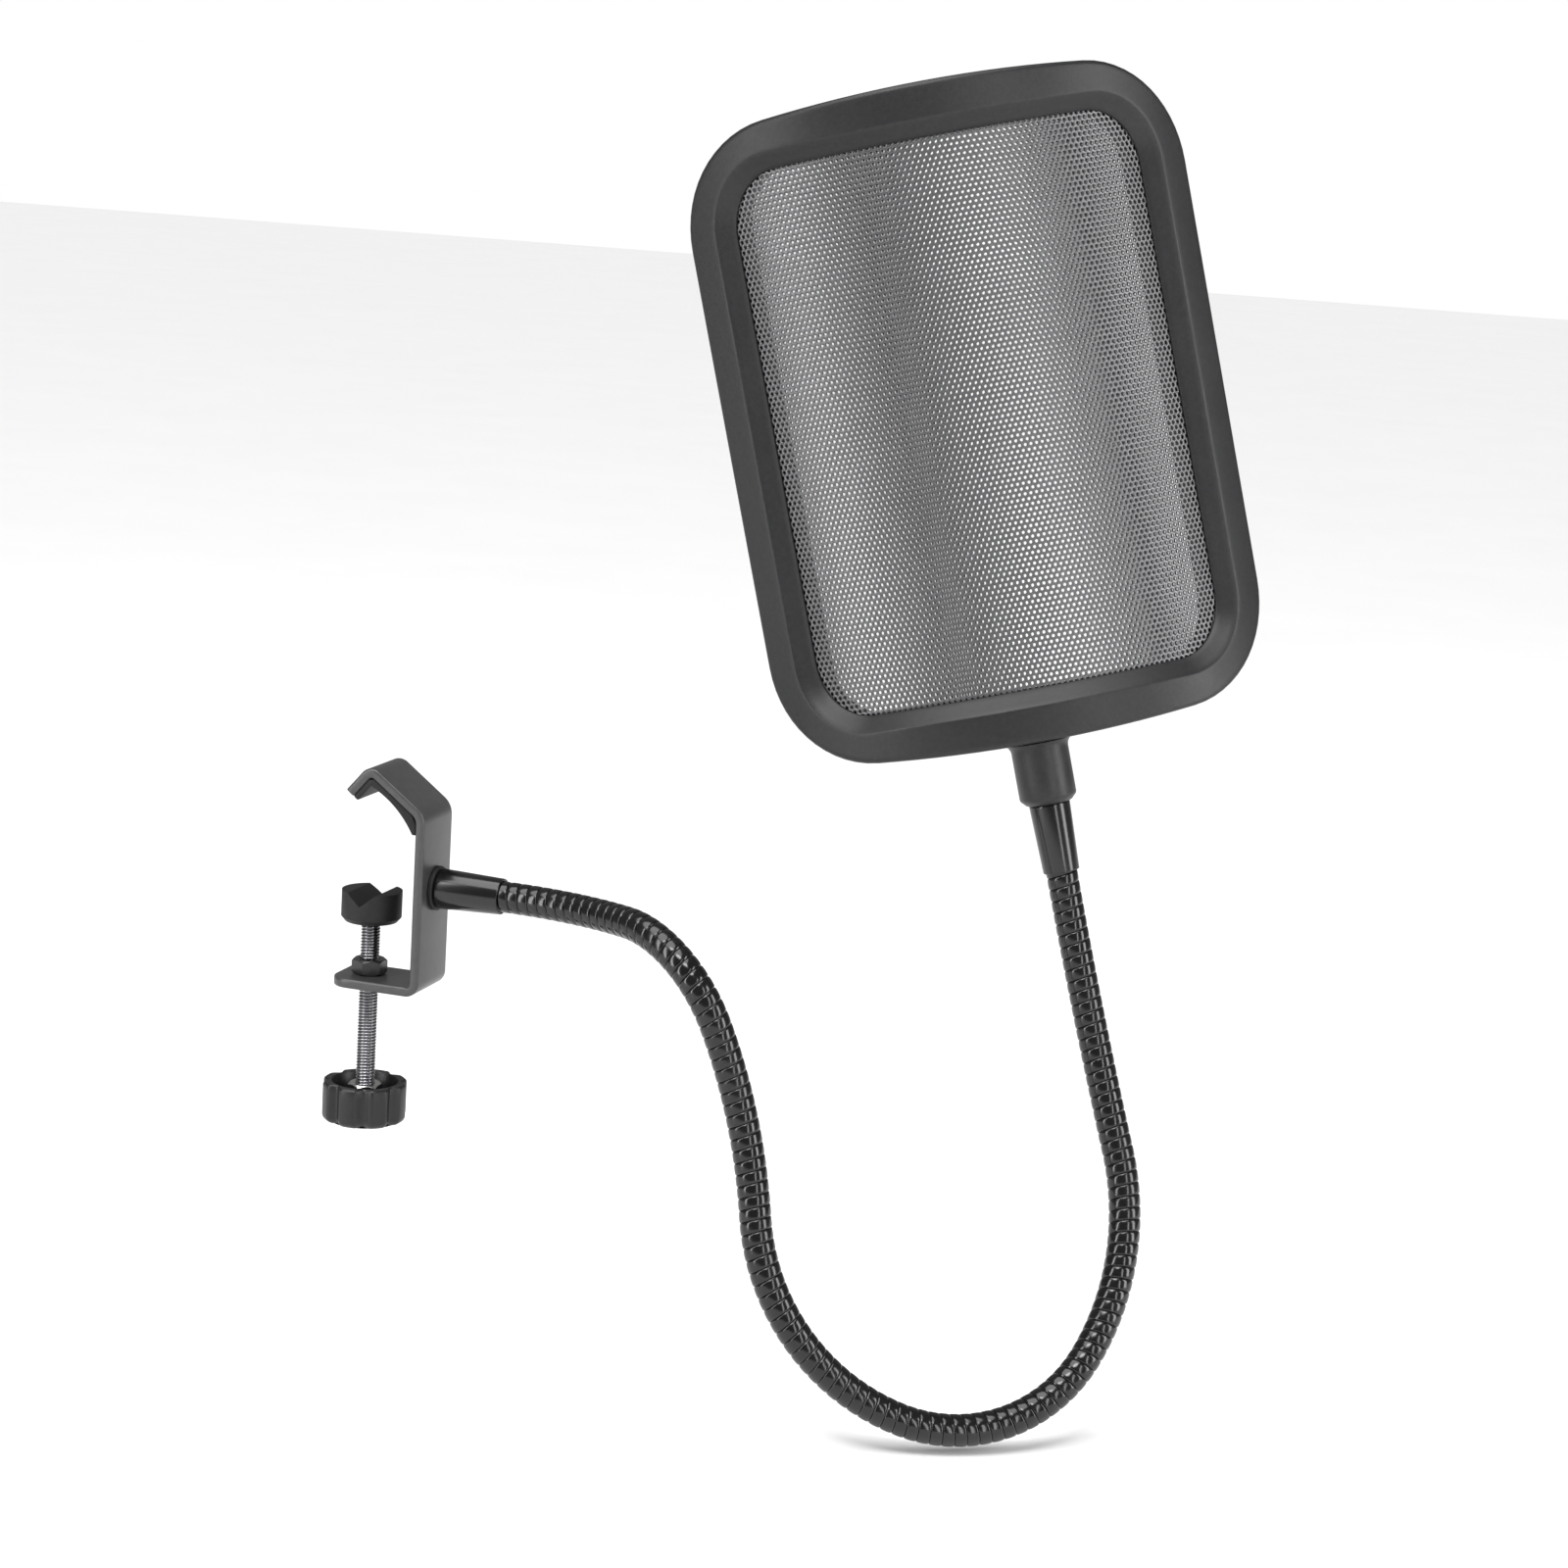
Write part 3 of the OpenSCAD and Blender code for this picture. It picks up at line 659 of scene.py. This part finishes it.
FRONT_R = 88.5
BEZEL_R = 84.5
MESH_FRONT_R = (84.1, 84.4)
MESH_REAR_R = (82.1, 82.4)
REAR_R = (77.5, 82.0)
SHIELD_W, SHIELD_H, SHIELD_CORNER = 127.0, 164.5, 28.0
WINDOW_W, WINDOW_H, WINDOW_CORNER = 102.0, 138.0, 15.0
CROWN_R = 640.0
BEVEL_W = 4.0
RIM_W = 3.0
SOCKET_R, SOCKET_LEN, SOCKET_Z = 7.2, 16.0, -9.5
SHIELD_TURN = math.radians(80.5)
SHIELD_LIFT = TOP_FERRULE_MM + SOCKET_LEN + SHIELD_H / 2

held = neck_end @ Matrix.Rotation(SHIELD_TURN, 4, "Z") @ Matrix.Translation((0, 0, SHIELD_LIFT))
shield_frame = held @ Matrix.Rotation(math.radians(90), 4, "X") @ Matrix.Translation((0, 0, -SOCKET_Z))


def on_shield(angle, y, r):
    """World place of a point at an angle round the shield's curve, a height and a radius from its axis."""
    local = Vector((r * math.sin(angle), y, r * math.cos(angle) - FRONT_R))
    return (shield_frame @ local) * MM


CORNER_STEPS, SIDE_STEPS = 14, 16
ROUND_TURNS = np.radians([18, 36, 54, 72, 90])      # steps round a quarter of a rounded edge


def outline(half, height, corner, crowned_ends=False):
    """Closed outline of (angle, y), with the same count of points whatever its size."""
    corner_half = half - math.asin(corner / FRONT_R)
    low = height / 2 - corner
    made = []
    for sx, sy, a0 in ((1, 1, 0), (-1, 1, 90), (-1, -1, 180), (1, -1, 270)):
        for k in range(CORNER_STEPS + 1):
            a = math.radians(a0 + 90 * k / CORNER_STEPS)
            x, y = corner * math.cos(a), corner * math.sin(a)
            made.append((sx * corner_half + math.asin(x / FRONT_R), sy * low + y))
        last_point = made[-1]
        nx, ny = {(1, 1): (-1, 1), (-1, 1): (-1, -1), (-1, -1): (1, -1), (1, -1): (1, 1)}[sx, sy]
        b = math.radians(a0 + 90)
        target = (nx * corner_half + math.asin(corner * math.cos(b) / FRONT_R),
                  ny * low + corner * math.sin(b))
        for k in range(1, SIDE_STEPS):
            t = k / SIDE_STEPS
            made.append((last_point[0] * (1 - t) + target[0] * t, last_point[1] * (1 - t) + target[1] * t))
    if not crowned_ends:
        return made
    crowned = []
    for angle, y in made:
        x = FRONT_R * math.sin(angle)
        drop = CROWN_R - math.sqrt(CROWN_R ** 2 - x ** 2)
        crowned.append((angle, y * (1 - drop / height * 2 * (2 * y / height) ** 2)))
    return crowned


def full(inset):
    """The shield's outer outline, moved in by an inset."""
    half = math.asin(SHIELD_W / 2 / FRONT_R) - inset / FRONT_R
    return outline(half, SHIELD_H - 2 * inset, SHIELD_CORNER - inset, True)


def window(grow):
    """The outline of the opening over the mesh, moved out."""
    half = math.asin(WINDOW_W / 2 / BEZEL_R) + grow / FRONT_R
    return outline(half, WINDOW_H + 2 * grow, WINDOW_CORNER + grow)


def between(a, b, t):
    """Outline a share t of the way from one outline to another."""
    return [(p[0] * (1 - t) + q[0] * t, p[1] * (1 - t) + q[1] * t) for p, q in zip(a, b)]


def ring_solid(name, rings):
    """Closed solid through rings, each an outline and a radius."""
    points = [on_shield(angle, y, r) for ring, r in rings for angle, y in ring]
    return piece(name, points, ring_faces(len(rings), len(rings[0][0]), True), PLASTIC,
                 angle=32)


def bezel():
    """Front frame: rounded rim, flat face and a bevel down to the mesh."""
    round_r = 1.3
    bevel_top = FRONT_R - 0.22
    rings = [(full(0.12), BEZEL_R), (full(0), BEZEL_R + 0.15), (full(0), FRONT_R - round_r)]
    for a in ROUND_TURNS:
        rings.append((full(round_r * (1 - math.cos(a))), FRONT_R - round_r * (1 - math.sin(a))))
    outer, inner = full(round_r), window(BEVEL_W + 0.5)
    rings += [(between(outer, inner, t), FRONT_R) for t in np.linspace(0, 1, 9)[1:]]
    rings += [(window(BEVEL_W + 0.2), FRONT_R - 0.05), (window(BEVEL_W - 0.1), bevel_top)]
    low = BEZEL_R + 0.45
    rings += [(window(BEVEL_W * (1 - t)), bevel_top - (bevel_top - low) * t)
              for t in (0.25, 0.5, 0.75, 0.97)]
    rings += [(window(0), low - 0.1), (window(0), BEZEL_R)]
    rings += [(between(window(0), full(0.12), t), BEZEL_R) for t in np.linspace(0, 1, 9)[1:-1]]
    made = ring_solid("bezel", rings)
    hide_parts("front_bezel")
    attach(made, "shield")


def back_frame():
    """Rear frame, with a thin rim that meets the front one."""
    round_r = 1.6
    low, high, rim = REAR_R[0], REAR_R[1], BEZEL_R - 0.1
    rings = [(full(0), rim - 0.1), (full(0.1), rim), (full(RIM_W), rim), (full(RIM_W), high)]
    rings += [(between(full(RIM_W), window(0), t), high) for t in np.linspace(0, 1, 8)[1:]]
    rings += [(window(0), low + 0.8), (window(0.25), low + 0.25), (window(0.8), low)]
    rings += [(between(window(0.8), full(round_r), t), low) for t in np.linspace(0, 1, 8)[1:]]
    for a in ROUND_TURNS:
        rings.append((full(round_r * (1 - math.sin(a))), low + round_r * (1 - math.cos(a))))
    made = ring_solid("back_frame", rings)
    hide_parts("rear_frame")
    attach(made, "shield")


def neck_socket():
    """Moulded socket under the frame, flared where it meets the frame's lower edge."""
    low = -SHIELD_H / 2 - SOCKET_LEN
    edge = -SHIELD_H / 2
    flare_wide, flare_tall = 2.2, 2.4
    profile = [(3.9, low + 0.3), (4.2, low), (SOCKET_R - 1.7, low), (SOCKET_R - 1.3, low + 0.2),
               (SOCKET_R - 0.2, low + 1.35), (SOCKET_R, low + 1.9), (SOCKET_R, low + 6),
               (SOCKET_R, edge - flare_tall)]
    profile += [(SOCKET_R + flare_wide * (1 - math.cos(a)), edge - flare_tall + flare_tall * math.sin(a))
                for a in np.radians([20, 40, 60, 78])]
    profile += [(SOCKET_R + 1.8, edge + 0.4), (SOCKET_R, edge + 3.0), (SOCKET_R, edge + 9.6),
                (3.9, edge + 9.6)]
    columns = 72
    inside_r = REAR_R[1] - 0.2      # the part within the frame stays behind the frame's front
    points = []
    for r, y in profile:
        for j in range(columns):
            a = 2 * math.pi * j / columns
            wide = r if r < SOCKET_R else SOCKET_R + (r - SOCKET_R) * abs(math.cos(a))
            x, z = wide * math.cos(a), SOCKET_Z + wide * math.sin(a)
            reach = math.hypot(x, z + FRONT_R)
            if y > edge - 0.1 and reach > inside_r:
                scale = inside_r / reach
                x, z = x * scale, (z + FRONT_R) * scale - FRONT_R
            points.append((shield_frame @ Vector((x, y, z))) * MM)
    made = piece("neck_socket", points, ring_faces(len(profile), columns, True), PLASTIC)
    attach(made, "shield")


MESH_PITCH_MM = (1.53, 1.325)      # between holes in a row, and between rows
MESH_TUCK_MM = 1.6                 # how far the sheet runs in under the frame
CELL_POINTS = 24                   # a rim and a hole of six points each, at two radii


def hex_mesh(name, radii, node, hole, shift):
    """Perforated steel: hexagonal cells with a hole of a given radius in each, in two halves."""
    pitch_x, pitch_y = MESH_PITCH_MM
    reach = MESH_TUCK_MM
    half = math.asin(WINDOW_W / 2 / BEZEL_R) * FRONT_R + reach
    tall, corner = WINDOW_H / 2 + reach, WINDOW_CORNER + reach
    columns, rows = int(half / pitch_x) + 4, int(tall / pitch_y) + 4
    cells = []
    for row in range(-rows, rows + 1):
        for column in range(-columns, columns + 1):
            x = (column + 0.5 * (row % 2)) * pitch_x + shift[0]
            y = row * pitch_y + shift[1]
            over = (max(abs(x) - half + corner, 0), max(abs(y) - tall + corner, 0))
            if abs(x) < half and abs(y) < tall and math.hypot(*over) < corner:
                cells.append((x, y))
    cells = np.array(cells)
    angles = np.radians(30 + 60 * np.arange(6))
    size_x, size_y = pitch_x / 2 / math.cos(math.radians(30)), pitch_y * 2 / 3
    rim = np.stack([size_x * np.cos(angles), size_y * np.sin(angles)], 1)
    hollow = np.stack([hole * np.cos(angles), hole * np.sin(angles)], 1)
    for side, keep in (("left", cells[:, 0] < 0), ("right", cells[:, 0] >= 0)):
        chosen = cells[keep]
        count = len(chosen)
        flat = np.concatenate([chosen[:, None] + rim[None], chosen[:, None] + hollow[None]], 1)
        points = []
        for r in radii:
            angle = flat[..., 0] / FRONT_R
            points.append(np.stack([r * np.sin(angle), flat[..., 1], r * np.cos(angle) - FRONT_R], -1))
        points = np.concatenate(points, 1).reshape(-1, 3)
        spin = np.array(shield_frame.to_3x3())
        points = (points @ spin.T + np.array(shield_frame.to_translation())) * MM
        first = np.arange(count)[:, None] * CELL_POINTS
        faces = []
        for k in range(6):
            m = (k + 1) % 6
            faces.append(first + np.array([12 + k, 12 + m, 18 + m, 18 + k]))
            faces.append(first + np.array([k, 6 + k, 6 + m, m]))
            faces.append(first + np.array([6 + k, 18 + k, 18 + m, 6 + m]))
        faces = np.concatenate(faces).astype(np.int32)
        mesh = bpy.data.meshes.new(f"{name}_{side}")
        mesh.vertices.add(len(points))
        mesh.vertices.foreach_set("co", points.astype(np.float32).ravel())
        mesh.loops.add(faces.size)
        mesh.loops.foreach_set("vertex_index", faces.ravel())
        mesh.polygons.add(len(faces))
        mesh.polygons.foreach_set("loop_start", np.arange(0, faces.size, 4, dtype=np.int32))
        mesh.update(calc_edges=True)
        shape = bmesh.new()
        shape.from_mesh(mesh)
        bmesh.ops.remove_doubles(shape, verts=shape.verts, dist=0.00002)
        shape.to_mesh(mesh)
        shape.free()
        mesh.materials.append(MESH)
        layer = bpy.data.objects.new(mesh.name, mesh)
        bpy.context.scene.collection.objects.link(layer)
        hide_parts(node)
        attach(layer, "shield")


bezel()
back_frame()
neck_socket()
# The rear sheet's larger, shifted holes are chosen for the look: light then shows through both sheets.
hex_mesh("mesh_front", MESH_FRONT_R, "front_mesh", 0.45, (0.0, 0.0))
hex_mesh("mesh_rear", MESH_REAR_R, "rear_mesh", 0.60, (0.45, -0.17))

# ---------- finishes of the CAD nodes that show as they are ----------

FINISHES = {"pad_clip": BRIGHT, "mesh_spacer": RUBBER}
for i in range(len(LENGTHS)):
    FINISHES[f"neck_coil_{i + 1}"] = STEEL
for node, material in FINISHES.items():
    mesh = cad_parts[node].data
    mesh.materials.clear()
    mesh.materials.append(material)

# ---------- floor ----------

FLOOR = surface("floor", (0.86, 0.86, 0.86), 0.6, grain=40, bump=0.02, tone=0.01)
FLOOR_GAP = 0.002      # below the CAD's lowest point
FLOOR_HALF = 6.0
floor_z = cad_box[0].z - FLOOR_GAP
floor_corners = [(x * FLOOR_HALF, y * FLOOR_HALF, floor_z) for x, y in ((-1, -1), (1, -1), (1, 1), (-1, 1))]
floor = piece("floor", floor_corners, [(0, 1, 2, 3)], FLOOR, smooth=False)
